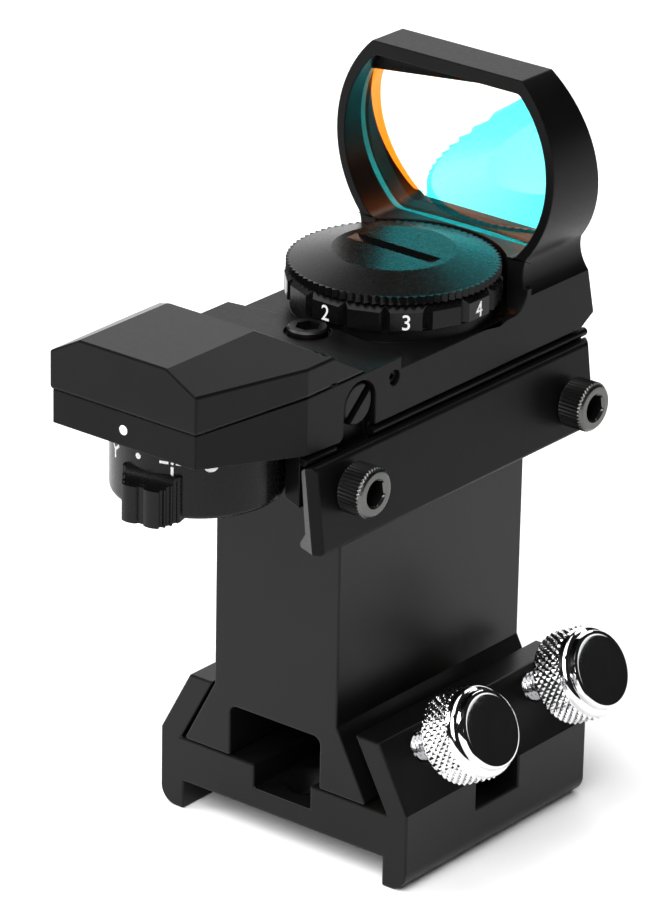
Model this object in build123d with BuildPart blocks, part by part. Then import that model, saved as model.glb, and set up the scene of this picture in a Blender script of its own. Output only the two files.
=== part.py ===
from build123d import *
import os
from math import cos, pi, radians, sin, sqrt

# Reflex finder on a riser, held in a dovetail finder shoe.
# X is to the right (thumbscrew side), Y forward along the line of sight, Z up.
# The origin is the middle of the shoe's underside, at the level of its two legs.
# All lengths are in millimetres.

os.makedirs("parts", exist_ok=True)

# ---- clearances ------------------------------------------------------------------
run_fit = 0.05
slide_gap = 0.10

# ---- shoe ------------------------------------------------------------------------
shoe_length = 40.0
shoe_half_width = 21.4
shoe_leg_width = 4.0
shoe_underside_z = 4.2
shoe_side_z = 11.4
shoe_lip_z = 20.7
shoe_lip_outer = 16.4
shoe_lip_inner = 12.4
shoe_floor_z = 10.7
shoe_floor_half = 17.9
notch_half = 4.9
notch_floor_z = 7.2
cross_slot_half = 4.7
cross_slot_floor_z = 6.8
cross_slot_top_z = 13.2
shoe_hole_spacing = 26.0
shoe_hole_d = 4.5
shoe_hole_head_d = 8.6

# ---- riser -----------------------------------------------------------------------
riser_x = -1.4
riser_length = 40.0
foot_half = 15.6
foot_edge_z = 11.3
foot_top_z = 20.8
column_half = 10.6
foot_notch_half = 7.8
foot_notch_top_z = 18.3
rail_top_z = 57.55
rail_half = 10.6
rail_flat_half = 7.84
rail_edge_height = 0.55
rail_neck_height = 1.9
rail_slot_width = 5.23
rail_slot_depth = 3.0
rail_slot_pitch = 10.0

# ---- thumbscrews -----------------------------------------------------------------
screw_y = 12.3
screw_axis_x, screw_axis_z = 17.83, 18.04
knob_face_reach = 13.0
knob_length = 7.2
knob_r = 6.6
knob_band_length = 5.1
knob_face_r = 5.2
thumb_thread_r = 2.0
pad_r = 1.6
pad_length = 1.6

# ---- sight casing ----------------------------------------------------------------
deck_half = 14.7
deck_z = 71.55
block_z = 73.15
block_front_y = -13.1
block_bow = 2.3
side_bottom_z = 65.2
base_half = 13.55
base_bottom_z = 57.6
base_rear_y = -32.4
base_front_y = 28.4
front_low_y, front_low_z = 29.4, 66.8
front_top_y, front_top_z = 20.7, 103.4
hood_rear_y = 14.0
hood_fillet = 3.0
hood_top_half = 12.6
hood_half, hood_wide_z = 18.4, 90.6
neck_half = 13.85
neck_low_z, neck_z, neck_high_z = 73.4, 76.0, 78.6
window_half = 17.0
window_bottom_z = 78.2
window_top_z = 101.4
rear_y = -51.65
rear_half = 12.2
rear_bottom_z = 68.45
taper_y = -32.4
taper_bottom_z = 65.17
housing_front_y = -25.1
housing_front_z = 64.8
ridge_r = 0.6
ridge_x, ridge_z = 13.95, 64.1

# ---- emitter cover ---------------------------------------------------------------
cover_top_z = 81.1
cover_top_half = 7.3
cover_shoulder_z = 78.45
cover_top_front_y = -34.2
cover_toe_y = -20.1
cover_wall = 1.5
cover_overhang = 0.3
cover_edge_break = 0.25

# ---- lens ------------------------------------------------------------------------
lens_y, lens_z = 20.2, 89.8
lens_tilt = 7.5
lens_radius = 115.0
lens_thickness = 2.2
lens_shoulder = 2.45

# ---- clamp -----------------------------------------------------------------------
plate_rear_y = -32.4
plate_front_y = 28.4
plate_top_z = 63.3
plate_bottom_z = 51.4
plate_end_bevel = 1.1
bolt_rear_y, bolt_rear_z = -25.1, 59.15
bolt_front_y, bolt_front_z = 22.0, 56.6
bolt_r = 1.95
bolt_head_r = 3.5
bolt_head_length = 4.0
bolt_hex = 3.4
bolt_rim_bevel = 0.5

# ---- dial and battery ------------------------------------------------------------
dial_y = 3.7
dial_r = 14.75
dial_bottom_z = 73.5
dial_top_z = 76.8
dial_bore_r = 12.4
dial_facets = 16
cap_r = 14.45
cap_rim_z = 78.2
cap_under_z = 77.1
cap_flat_r = 8.4
cap_top_z = 79.7
cap_teeth = 80
coin_slot_length = 14.4
coin_slot_width = 2.2
neck_r = 12.3
battery_r = 10.0
battery_height = 3.2
battery_z = 71.2
boss_r = 13.8
boss_z = 73.2
scoop_r = 15.2

# ---- emitter inside the rear housing ---------------------------------------------
selector_y = -36.6
selector_r = 11.5
selector_bottom_z = 58.3
selector_top_z = 67.7
selector_recess_r = 11.9
recess_roof_z = 68.2
cavity_floor_z = 69.7
cavity_half = 10.6
lever_angle = 8.2
lever_outer_r = 14.2
elevation_y = -14.4
windage_y, windage_z = -21.65, 69.0
adjuster_thread_r = 1.5
drum_r = 6.6
drum_journal_r = 4.0
selector_hub_r = 3.4
selector_steps = (25, 0, -25, -50)
detent_r = 8.0
detent_ball_r = 1.0
wire_x, wire_z = -7.5, 70.0
cover_screw_x, cover_screw_y, cover_screw_r = 12.65, -27.0, 0.8
led_z = 74.4


def level(z, y=0.0, x=riser_x):
    """Horizontal plane of the riser and sight, X right and Y forward."""
    return Plane(origin=(x, y, z))


def facing_rear(y, x=riser_x, z=0.0):
    """Upright plane across the object, X right and Z up, extruded towards the rear."""
    return Plane(origin=(x, y, z), x_dir=(1, 0, 0), z_dir=(0, -1, 0))


def facing_right(x, y=0.0, z=0.0):
    """Upright plane along the object, Y forward and Z up, extruded to the right."""
    return Plane(origin=(riser_x + x, y, z), x_dir=(0, 1, 0), z_dir=(1, 0, 0))


def finish(part, label):
    """Label one piece and write its STEP file."""
    part.label = label
    export_step(part, f"parts/{label}.step")


# ==== shoe ========================================================================
thumb_dir = Vector(shoe_lip_z - shoe_side_z, 0, shoe_half_width - shoe_lip_outer).normalized()


def thumb_plane(y, reach):
    """Plane across a thumbscrew's axis, at a distance outward from the lip's face."""
    origin = Vector(screw_axis_x, y, screw_axis_z) + thumb_dir * reach
    return Plane(origin=origin, x_dir=(0, 1, 0), z_dir=thumb_dir)


with BuildPart() as finder_shoe:
    with BuildSketch(facing_rear(shoe_length / 2, x=0)):
        with BuildLine():
            Polyline(
                (0, notch_floor_z),
                (notch_half, notch_floor_z),
                (notch_half, shoe_floor_z),
                (shoe_floor_half, shoe_floor_z),
                (shoe_lip_inner, shoe_lip_z),
                (shoe_lip_outer, shoe_lip_z),
                (shoe_half_width, shoe_side_z),
                (shoe_half_width, 0),
                (shoe_half_width - shoe_leg_width, 0),
                (shoe_half_width - shoe_leg_width, shoe_underside_z),
                (0, shoe_underside_z),
                (0, notch_floor_z),
            )
        make_face()
        mirror(about=Plane.YZ)
    extrude(amount=shoe_length)
    outer_feet = finder_shoe.edges().filter_by(Axis.Y).filter_by(
        lambda e: abs(e.center().Z) < 0.01 and abs(e.center().X) > shoe_half_width - 0.01
    )
    fillet(outer_feet, radius=2.6)
    with BuildSketch(Plane.XY.offset(cross_slot_floor_z)):
        Rectangle(2 * shoe_half_width + 2, 2 * cross_slot_half)
    extrude(amount=cross_slot_top_z - cross_slot_floor_z, mode=Mode.SUBTRACT)
    with Locations(
        (0, shoe_hole_spacing / 2, notch_floor_z),
        (0, -shoe_hole_spacing / 2, notch_floor_z),
    ):
        CounterSinkHole(
            radius=shoe_hole_d / 2,
            counter_sink_radius=shoe_hole_head_d / 2,
            counter_sink_angle=90,
        )
    for y in (-screw_y, screw_y):
        with BuildSketch(thumb_plane(y, 2.0)):
            Circle(thumb_thread_r + run_fit)
        extrude(amount=-8.0, mode=Mode.SUBTRACT)
finish(finder_shoe.part, "finder_shoe")


# ==== thumbscrews and their pressure pads =========================================
pad_face_reach = -6.30


def build_pressure_pad(y, label):
    """Brass pad on the screw's tip; it presses the foot's flank and does not turn."""
    with BuildPart() as pad:
        with BuildSketch(thumb_plane(y, pad_face_reach)):
            Circle(pad_r)
        extrude(amount=pad_length)
        with BuildSketch(thumb_plane(y, pad_face_reach + pad_length)):
            Circle(0.7)
        extrude(amount=1.2)
    finish(pad.part, label)


def build_thumbscrew(y, label):
    """Plated thumbscrew: threaded shank, banded head and a stepped, polished face."""
    with BuildPart() as screw:
        shank_start = pad_face_reach + pad_length + 0.02
        band_start = knob_face_reach - knob_length
        with BuildSketch(thumb_plane(y, shank_start)):
            Circle(thumb_thread_r)
        extrude(amount=band_start - shank_start + 0.5)
        with BuildSketch(thumb_plane(y, band_start)):
            Circle(knob_r)
        extrude(amount=knob_band_length)
        with BuildSketch(thumb_plane(y, band_start + knob_band_length)):
            Circle(knob_r - 0.35)
        with BuildSketch(thumb_plane(y, band_start + knob_band_length + 1.0)):
            Circle(knob_face_r + 0.45)
        loft()
        with BuildSketch(thumb_plane(y, band_start + knob_band_length + 1.0)):
            Circle(knob_face_r + 0.3)
        with BuildSketch(thumb_plane(y, knob_face_reach)):
            Circle(knob_face_r)
        loft()
        with BuildSketch(thumb_plane(y, shank_start)):
            Circle(0.7 + run_fit)
        extrude(amount=1.4, mode=Mode.SUBTRACT)
    finish(screw.part, label)


build_pressure_pad(-screw_y, "pressure_pad_rear")
build_pressure_pad(screw_y, "pressure_pad_front")
build_thumbscrew(-screw_y, "thumbscrew_rear")
build_thumbscrew(screw_y, "thumbscrew_front")


# ==== riser =======================================================================
rail_flank = rail_half - rail_flat_half
rail_edge_z = rail_top_z - rail_flank
rail_neck_z = rail_edge_z - rail_edge_height - rail_flank
riser_bottom_z = shoe_floor_z + slide_gap

with BuildPart() as riser_post:
    with BuildSketch(facing_rear(riser_length / 2)):
        with BuildLine():
            Polyline(
                (0, rail_top_z),
                (rail_flat_half, rail_top_z),
                (rail_half, rail_edge_z),
                (rail_half, rail_edge_z - rail_edge_height),
                (rail_flat_half, rail_neck_z),
                (rail_flat_half, rail_neck_z - rail_neck_height),
                (column_half, rail_neck_z - rail_neck_height),
                (column_half, foot_top_z),
                (foot_half, foot_edge_z),
                (foot_half, riser_bottom_z),
                (foot_notch_half, riser_bottom_z),
                (foot_notch_half, foot_notch_top_z),
                (0, foot_notch_top_z),
                (0, rail_top_z),
            )
        make_face()
        mirror(about=Plane.YZ)
    extrude(amount=riser_length)
    notch_corners = riser_post.edges().filter_by(Axis.Y).filter_by(
        lambda e: abs(e.center().Z - foot_notch_top_z) < 0.01 and abs(e.center().X - riser_x) > 1
    )
    fillet(notch_corners, radius=1.2)
    with BuildSketch(level(rail_top_z)):
        with GridLocations(1, rail_slot_pitch, 1, 5):
            Rectangle(2 * rail_half + 1, rail_slot_width)
    extrude(amount=-rail_slot_depth, mode=Mode.SUBTRACT)
finish(riser_post.part, "riser_post")


# ==== sight body ==================================================================
front_slope = (front_low_y - front_top_y) / (front_top_z - front_low_z)


def front_y(z):
    """Y of the leaning front face at a height."""
    return front_top_y + front_slope * (front_top_z - z)


def hood_outline():
    """Outline of the hood seen along the line of sight, X across and Y for height."""
    with BuildSketch() as outline:
        with BuildLine():
            Line((0, side_bottom_z), (deck_half, side_bottom_z))
            Line((deck_half, side_bottom_z), (deck_half, neck_low_z))
            ThreePointArc((deck_half, neck_low_z), (neck_half, neck_z), (neck_half + 0.4, neck_high_z))
            ThreePointArc(
                (neck_half + 0.4, neck_high_z), (hood_half, hood_wide_z), (hood_top_half, front_top_z)
            )
            Line((hood_top_half, front_top_z), (0, front_top_z))
            Line((0, front_top_z), (0, side_bottom_z))
        make_face()
        mirror(about=Plane.YZ)
    return outline.sketch


def window_outline(grow=0.0):
    """Clear opening of the hood, optionally grown on every side."""
    with BuildSketch() as opening:
        with BuildLine():
            Line((0, window_bottom_z), (12.0, window_bottom_z))
            ThreePointArc((12.0, window_bottom_z), (window_half, 90.2), (12.1, window_top_z))
            Line((12.1, window_top_z), (0, window_top_z))
            Line((0, window_top_z), (0, window_bottom_z))
        make_face()
        mirror(about=Plane.YZ)
        fillet(opening.vertices().group_by(Axis.Y)[0], radius=2.0)
        fillet(opening.vertices().group_by(Axis.Y)[-1], radius=1.0)
        if grow:
            offset(amount=grow)
    return opening.sketch


def taper_tools(bottom_z, height):
    """Two wedges that narrow the rear housing towards its rear face."""
    with BuildPart() as wedges:
        with BuildSketch(level(bottom_z)):
            with BuildLine():
                Polyline(
                    (deck_half, taper_y),
                    (rear_half - cover_overhang, rear_y),
                    (rear_half - cover_overhang, rear_y - 5),
                    (deck_half + 5, rear_y - 5),
                    (deck_half + 5, taper_y),
                    (deck_half, taper_y),
                )
            make_face()
            mirror(about=Plane.YZ)
        extrude(amount=height)
    return wedges.part


hood_face = hood_outline()
window_face = window_outline()
lens_seat_face = window_outline(grow=0.55)
housing_taper = taper_tools(rear_bottom_z - 12, 30)
lens_plane = Plane(
    origin=(riser_x, lens_y, lens_z),
    x_dir=(1, 0, 0),
    z_dir=(0, -cos(radians(lens_tilt)), -sin(radians(lens_tilt))),
)

with BuildPart() as sight_body:
    # deck, adjuster block and lower rear housing, from one side outline
    with BuildSketch(facing_right(-deck_half)):
        with BuildLine():
            Polyline(
                (rear_y + cover_overhang, rear_bottom_z),
                (taper_y, taper_bottom_z),
                (housing_front_y, housing_front_z),
                (housing_front_y + 6.5, side_bottom_z),
                (front_low_y - 2.8, side_bottom_z),
                (front_low_y, front_low_z),
                (front_y(deck_z), deck_z),
                (block_front_y + block_bow, deck_z),
                (block_front_y + block_bow, block_z),
                (rear_y + cover_overhang, block_z),
                (rear_y + cover_overhang, rear_bottom_z),
            )
        make_face()
    extrude(amount=2 * deck_half)
    # the block's front edge is bowed: its corners stand further back than its middle
    with BuildSketch(level(deck_z)):
        with BuildLine():
            Polyline(
                (0, block_front_y + block_bow),
                (deck_half + 1, block_front_y - 0.1),
                (deck_half + 1, block_front_y + block_bow + 1),
                (0, block_front_y + block_bow + 1),
                (0, block_front_y + block_bow),
            )
        make_face()
        mirror(about=Plane.YZ)
    extrude(amount=block_z - deck_z + 1, mode=Mode.SUBTRACT)
    # hood
    with BuildSketch(facing_rear(hood_rear_y + 16)):
        add(hood_face)
    extrude(amount=16)
    # toe of the hood, swept up from the deck
    with BuildSketch(facing_right(-deck_half)):
        with BuildLine():
            Line((hood_rear_y - hood_fillet, deck_z), (hood_rear_y + 1, deck_z))
            Line((hood_rear_y + 1, deck_z), (hood_rear_y + 1, deck_z + hood_fillet))
            Line((hood_rear_y + 1, deck_z + hood_fillet), (hood_rear_y, deck_z + hood_fillet))
            RadiusArc((hood_rear_y, deck_z + hood_fillet), (hood_rear_y - hood_fillet, deck_z), hood_fillet)
        make_face()
    extrude(amount=2 * deck_half)
    # leaning front face and its small lower bevel
    with BuildSketch(facing_right(-25)):
        with BuildLine():
            Polyline(
                (front_y(front_top_z + 2), front_top_z + 2),
                (front_low_y, front_low_z),
                (front_low_y - 2.8, side_bottom_z),
                (front_low_y - 2.8, side_bottom_z - 0.3),
                (45, side_bottom_z - 0.3),
                (45, front_top_z + 2),
                (front_y(front_top_z + 2), front_top_z + 2),
            )
        make_face()
    extrude(amount=50, mode=Mode.SUBTRACT)
    # rail base with the fixed jaw on the left
    with BuildSketch(facing_rear(base_front_y)):
        with BuildLine():
            Polyline(
                (base_half, side_bottom_z),
                (base_half, base_bottom_z - 0.1),
                (9.5, 58.9),
                (8.2, base_bottom_z),
                (-8.2, base_bottom_z),
                (-9.5, 58.9),
                (-10.75, 58.2),
                (-10.75, rail_edge_z - rail_edge_height - 0.07),
                (-8.9, rail_edge_z - rail_edge_height - 1.92),
                (-9.6, 51.5),
                (-16.3, plate_bottom_z - 0.2),
                (-15.45, plate_top_z),
                (-base_half, plate_top_z + 0.3),
                (-base_half, side_bottom_z),
                (base_half, side_bottom_z),
            )
        make_face()
        with Locations((ridge_x, ridge_z), (-ridge_x, ridge_z)):
            Circle(ridge_r)
    extrude(amount=base_front_y - base_rear_y)
    with BuildSketch(facing_rear(base_front_y - 2)):
        with Locations((0, side_bottom_z)):
            Rectangle(2 * base_half, 0.6)
    extrude(amount=base_front_y - housing_front_y - 4)
    # round boss under the dial
    with BuildSketch(level(deck_z - 0.5, y=dial_y)):
        Circle(boss_r)
    extrude(amount=boss_z - deck_z + 0.5)
    # window, with the lens seat open to the front
    with BuildSketch(facing_rear(hood_rear_y + 20)):
        add(window_face)
    extrude(amount=24, mode=Mode.SUBTRACT)
    with BuildSketch(lens_plane.offset(lens_shoulder)):
        with Locations((0, -lens_z)):
            add(lens_seat_face)
    extrude(amount=-14, mode=Mode.SUBTRACT)
    # scoop that clears the dial
    with BuildSketch(level(boss_z, y=dial_y)):
        Circle(scoop_r)
    extrude(amount=window_bottom_z - boss_z, mode=Mode.SUBTRACT)
    with BuildSketch(level(deck_z, y=dial_y)):
        Circle(scoop_r)
        Circle(boss_r, mode=Mode.SUBTRACT)
    extrude(amount=boss_z - deck_z, mode=Mode.SUBTRACT)
    # narrowing rear housing and the selector's round recess under it
    add(housing_taper, mode=Mode.SUBTRACT)
    with BuildSketch(level(50, y=selector_y)):
        Circle(selector_recess_r)
    extrude(amount=recess_roof_z - 50, mode=Mode.SUBTRACT)
    # battery pocket and the switch ring's seat in the boss
    with BuildSketch(level(boss_z, y=dial_y)):
        Circle(neck_r + run_fit)
    extrude(amount=67.6 - boss_z, mode=Mode.SUBTRACT)
    with BuildSketch(level(boss_z, y=dial_y)):
        Circle(13.55)
    extrude(amount=-0.75, mode=Mode.SUBTRACT)
    # emitter cavity, the tunnel to the elevation screw and the windage pocket
    with BuildSketch(level(cavity_floor_z)):
        with BuildLine():
            Polyline(
                (0, -24.0),
                (cavity_half, -24.0),
                (cavity_half, taper_y),
                (rear_half - 1.8, rear_y + 1.7),
                (0, rear_y + 1.7),
                (0, -24.0),
            )
        make_face()
        mirror(about=Plane.YZ)
    extrude(amount=block_z - cavity_floor_z + 1, mode=Mode.SUBTRACT)
    with BuildSketch(level(67.0)):
        with Locations((0, (elevation_y - 24.5 + 3.3) / 2)):
            Rectangle(8.8, elevation_y + 24.5 + 3.3)
    extrude(amount=4.6, mode=Mode.SUBTRACT)
    with BuildSketch(level(66.9)):
        with Locations((8.0, windage_y)):
            Rectangle(6.0, 4.4)
    extrude(amount=5.2, mode=Mode.SUBTRACT)
    with BuildSketch(level(70.6)):
        with Locations((6.5, -24.0)):
            Rectangle(3.0, 3.0)
    extrude(amount=1.5, mode=Mode.SUBTRACT)
    # seats of the elevation and windage screws
    with BuildSketch(level(block_z, y=elevation_y)):
        Circle(3.1)
    extrude(amount=-0.5, mode=Mode.SUBTRACT)
    with BuildSketch(level(block_z, y=elevation_y)):
        Circle(adjuster_thread_r + run_fit)
    extrude(amount=-4, mode=Mode.SUBTRACT)
    with BuildSketch(facing_right(deck_half - 1.9, y=windage_y, z=windage_z)):
        Circle(3.25)
        with Locations((0, -3)):
            Rectangle(6.5, 6)
    extrude(amount=4, mode=Mode.SUBTRACT)
    # rounded lower corner of the housing beside the windage pocket
    pocket_y = windage_y - 3.25
    with BuildSketch(facing_right(deck_half - 1.9)):
        with BuildLine():
            Line((pocket_y + 0.1, housing_front_z - 1), (pocket_y + 0.1, housing_front_z + 1.1))
            Line((pocket_y + 0.1, housing_front_z + 1.1), (pocket_y, housing_front_z + 1.1))
            ThreePointArc(
                (pocket_y, housing_front_z + 1.1),
                (pocket_y - 0.3, housing_front_z + 0.35),
                (pocket_y - 1.1, housing_front_z),
            )
            Line((pocket_y - 1.1, housing_front_z), (pocket_y - 1.1, housing_front_z - 1))
            Line((pocket_y - 1.1, housing_front_z - 1), (pocket_y + 0.1, housing_front_z - 1))
        make_face()
    extrude(amount=4, mode=Mode.SUBTRACT)
    with BuildSketch(facing_right(deck_half, y=windage_y, z=windage_z)):
        Circle(adjuster_thread_r + run_fit)
    extrude(amount=-6, mode=Mode.SUBTRACT)
    # lock screw's hole
    with BuildSketch(facing_right(deck_half, y=-14.5, z=70.6)):
        Circle(1.05)
    extrude(amount=-10.2, mode=Mode.SUBTRACT)
    # threaded holes of the clamp bolts
    with BuildSketch(facing_right(base_half + 1, y=bolt_rear_y, z=bolt_rear_z)):
        Circle(bolt_r + run_fit)
    extrude(amount=-8.0, mode=Mode.SUBTRACT)
    with BuildSketch(facing_right(base_half + 1, y=bolt_front_y, z=bolt_front_z)):
        Circle(bolt_r + run_fit)
    extrude(amount=-28.0, mode=Mode.SUBTRACT)
    # wire duct from the battery pocket to the emitter cavity
    with BuildSketch(facing_rear(dial_y - 9.5, z=wire_z)):
        with Locations((wire_x, 0)):
            Circle(0.8)
    extrude(amount=20, mode=Mode.SUBTRACT)
    # holes of the cover screws, and the dimples that the selector clicks into
    with BuildSketch(level(block_z + 0.1)):
        with Locations((cover_screw_x, cover_screw_y), (-cover_screw_x, cover_screw_y)):
            Circle(cover_screw_r + 0.03)
    extrude(amount=-3.2, mode=Mode.SUBTRACT)
    for turn in selector_steps:
        dimple = Vector(detent_r * cos(radians(turn)), detent_r * sin(radians(turn)), 0)
        with Locations(Vector(riser_x, selector_y, recess_roof_z - 0.6) + dimple):
            Sphere(detent_ball_r, mode=Mode.SUBTRACT)
    with BuildSketch(level(cavity_floor_z, y=selector_y)):
        Circle(selector_hub_r + run_fit)
    extrude(amount=-3, mode=Mode.SUBTRACT)
finish(sight_body.part, "sight_body")


# ==== lens ========================================================================
sphere_centre = lens_plane.from_local_coords(Vector(0, 0, lens_thickness / 2 + lens_radius))
lens_face = window_outline(grow=0.5)
lens_inner_face = window_outline()

with BuildPart() as lens:
    with BuildSketch(lens_plane.offset(4)):
        with Locations((0, -lens_z)):
            add(lens_face)
    extrude(amount=-6)
    with Locations(sphere_centre):
        Sphere(lens_radius + lens_thickness, mode=Mode.INTERSECT)
        Sphere(lens_radius, mode=Mode.SUBTRACT)
finish(lens.part, "lens")

with BuildPart() as lens_seal:
    with BuildSketch(lens_plane.offset(1)):
        with Locations((0, -lens_z)):
            add(lens_face)
            add(lens_inner_face, mode=Mode.SUBTRACT)
    extrude(amount=-2.9)
    with Locations(sphere_centre):
        Sphere(lens_radius + lens_thickness + 0.01, mode=Mode.SUBTRACT)
finish(lens_seal.part, "lens_seal")


# ==== emitter cover and its window ================================================
toe_slope = (cover_top_z - block_z) / (cover_toe_y - cover_top_front_y)
toe_angle = Vector(0, toe_slope, 1).normalized()
facet_slope = (cover_top_z - cover_shoulder_z) / (rear_half - cover_top_half)
window_y = -27.6
window_z = cover_top_z - toe_slope * (window_y - cover_top_front_y)
toe_plane = Plane(origin=(riser_x, window_y, window_z), x_dir=(1, 0, 0), z_dir=toe_angle)


def cover_block(wall):
    """Solid of the cover's outer shape, or of its hollow when a wall is given."""
    half = deck_half - wall
    top = cover_top_z - wall
    toe = cover_toe_y - wall * sqrt(1 + toe_slope**2) / toe_slope
    with BuildPart() as block:
        with BuildSketch(facing_right(-half)):
            with BuildLine():
                Polyline(
                    (rear_y + wall, block_z),
                    (rear_y + wall, top),
                    (toe - (top - block_z) / toe_slope, top),
                    (toe, block_z),
                    (rear_y + wall, block_z),
                )
            make_face()
        extrude(amount=2 * half)
        with BuildSketch(facing_rear(0)):
            with BuildLine():
                Polyline(
                    (cover_top_half - wall / 2, top),
                    (deck_half + 2, top - facet_slope * (deck_half + 2 - cover_top_half + wall / 2)),
                    (deck_half + 2, top + 2),
                    (cover_top_half - wall / 2, top + 2),
                    (cover_top_half - wall / 2, top),
                )
            make_face()
            mirror(about=Plane.YZ)
        extrude(amount=60, mode=Mode.SUBTRACT)
        with BuildSketch(level(block_z - 1)):
            with BuildLine():
                Polyline(
                    (half, taper_y),
                    (rear_half - wall, rear_y),
                    (rear_half - wall, rear_y - 5),
                    (deck_half + 5, rear_y - 5),
                    (deck_half + 5, taper_y),
                    (half, taper_y),
                )
            make_face()
            mirror(about=Plane.YZ)
        extrude(amount=20, mode=Mode.SUBTRACT)
    return block.part


cover_shell = cover_block(0.0)
cover_hollow = cover_block(cover_wall)

with BuildPart() as emitter_cover:
    add(cover_shell)
    lower_rim = emitter_cover.faces().sort_by(Axis.Z)[0].outer_wire().edges()
    chamfer(lower_rim.filter_by(lambda e: e.center().Y < cover_toe_y - 1), length=cover_edge_break)
    add(cover_hollow, mode=Mode.SUBTRACT)
    # corner posts round the screws, kept inside the outer shape
    with BuildSketch(level(block_z)):
        with Locations((cover_screw_x, cover_screw_y), (-cover_screw_x, cover_screw_y)):
            Circle(2.0)
    extrude(amount=3.2)
    with BuildSketch(level(block_z)):
        with Locations((cover_screw_x, cover_screw_y), (-cover_screw_x, cover_screw_y)):
            Circle(cover_screw_r + 0.03)
    extrude(amount=6, mode=Mode.SUBTRACT)
    with BuildSketch(level(block_z + 2.0)):
        with Locations((cover_screw_x, cover_screw_y), (-cover_screw_x, cover_screw_y)):
            Circle(1.6)
    extrude(amount=8, mode=Mode.SUBTRACT)
    with BuildSketch(toe_plane):
        Rectangle(6.4, 4.6)
    extrude(amount=-0.8, mode=Mode.SUBTRACT)
    with BuildSketch(toe_plane):
        Rectangle(5.0, 3.4)
    extrude(amount=-4, mode=Mode.SUBTRACT)
finish(emitter_cover.part, "emitter_cover")

with BuildPart() as cover_screws:
    with BuildSketch(level(block_z + 2.0)):
        with Locations((cover_screw_x, cover_screw_y), (-cover_screw_x, cover_screw_y)):
            Circle(1.5)
    extrude(amount=1.2)
    with BuildSketch(level(block_z + 2.0)):
        with Locations((cover_screw_x, cover_screw_y), (-cover_screw_x, cover_screw_y)):
            Circle(cover_screw_r)
    extrude(amount=-4.6)
    with BuildSketch(level(block_z + 3.2)):
        with Locations((cover_screw_x, cover_screw_y), (-cover_screw_x, cover_screw_y)):
            RegularPolygon(0.75, 6)
    extrude(amount=-0.8, mode=Mode.SUBTRACT)
finish(cover_screws.part, "cover_screws")

with BuildPart() as emitter_window:
    with BuildSketch(toe_plane.offset(-0.05)):
        Rectangle(6.3, 4.5)
    extrude(amount=-0.7)
finish(emitter_window.part, "emitter_window")


# ==== rail clamp ==================================================================
jaw_gap = 0.14
rail_low_z = rail_edge_z - rail_edge_height

with BuildPart() as clamp_plate:
    with BuildSketch(facing_rear(plate_front_y)):
        with BuildLine():
            Polyline(
                (13.62, 62.7),
                (14.0, plate_top_z),
                (15.1, plate_top_z),
                (15.5, 62.9),
                (16.9, 51.7),
                (16.6, plate_bottom_z - 0.1),
                (13.85, 52.1),
                (13.65, 52.8),
                (14.5, 54.3),
                (13.62, 62.7),
            )
        make_face()
    extrude(amount=plate_front_y - plate_rear_y)
    end_corners = clamp_plate.edges().filter_by(
        lambda e: e.length > 10 and e.center().X > riser_x + 16 and abs(e.tangent_at(0.5).Z) > 0.9
    )
    chamfer(end_corners, length=plate_end_bevel)
    # jaw that reaches under the rail, only as long as the rail
    with BuildSketch(facing_rear(riser_length / 2 - 0.6)):
        with BuildLine():
            Polyline(
                (15.0, 55.2),
                (rail_half + jaw_gap, rail_low_z + 0.35),
                (rail_half + jaw_gap, rail_low_z),
                (rail_half + jaw_gap - 1.7, rail_low_z - 1.7),
                (9.5, 51.7),
                (16.0, 51.7),
                (15.0, 55.2),
            )
        make_face()
    extrude(amount=riser_length - 1.2)
    with BuildSketch(facing_right(12, y=bolt_rear_y, z=bolt_rear_z)):
        Circle(bolt_r + run_fit)
    extrude(amount=8, mode=Mode.SUBTRACT)
    with BuildSketch(facing_right(12, y=bolt_front_y, z=bolt_front_z)):
        Circle(bolt_r + run_fit)
    extrude(amount=8, mode=Mode.SUBTRACT)
finish(clamp_plate.part, "clamp_plate")


def build_clamp_bolt(y, z, head_x, tip_x, label):
    """Socket-head cap screw lying across the sight, head on the clamp plate."""
    with BuildPart() as bolt:
        with BuildSketch(facing_right(head_x, y=y, z=z)):
            Circle(bolt_head_r)
        extrude(amount=bolt_head_length)
        rim = bolt.faces().sort_by(Axis.X)[-1].edges()
        chamfer(rim, length=bolt_rim_bevel)
        with BuildSketch(facing_right(tip_x, y=y, z=z)):
            Circle(bolt_r)
        extrude(amount=head_x - tip_x + 0.1)
        with BuildSketch(facing_right(head_x + bolt_head_length, y=y, z=z)):
            RegularPolygon(bolt_hex / sqrt(3), 6)
        extrude(amount=-2.2, mode=Mode.SUBTRACT)
    finish(bolt.part, label)


build_clamp_bolt(bolt_rear_y, bolt_rear_z, 16.42, 7.4, "clamp_bolt_rear")
build_clamp_bolt(bolt_front_y, bolt_front_z, 16.9, -12.6, "clamp_bolt_front")


# ==== elevation and windage =======================================================
block_roof_z = 71.6

with BuildPart() as elevation_screw:
    with BuildSketch(level(block_z - 0.45, y=elevation_y)):
        Circle(2.75)
    extrude(amount=1.25)
    chamfer(elevation_screw.faces().sort_by(Axis.Z)[-1].edges(), length=0.25)
    with BuildSketch(level(block_z, y=elevation_y)):
        Circle(adjuster_thread_r)
    extrude(amount=-5.6)
    with BuildSketch(level(block_z + 0.8, y=elevation_y)):
        RegularPolygon(1.75, 6)
    extrude(amount=-1.2, mode=Mode.SUBTRACT)
finish(elevation_screw.part, "elevation_screw")

with BuildPart() as elevation_clip:
    with BuildSketch(level(block_roof_z - 0.1, y=elevation_y)):
        Circle(2.5)
        Circle(adjuster_thread_r, mode=Mode.SUBTRACT)
        with Locations((0, -2)):
            Rectangle(1.6, 2, mode=Mode.SUBTRACT)
    extrude(amount=-0.35)
finish(elevation_clip.part, "elevation_clip")

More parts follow.
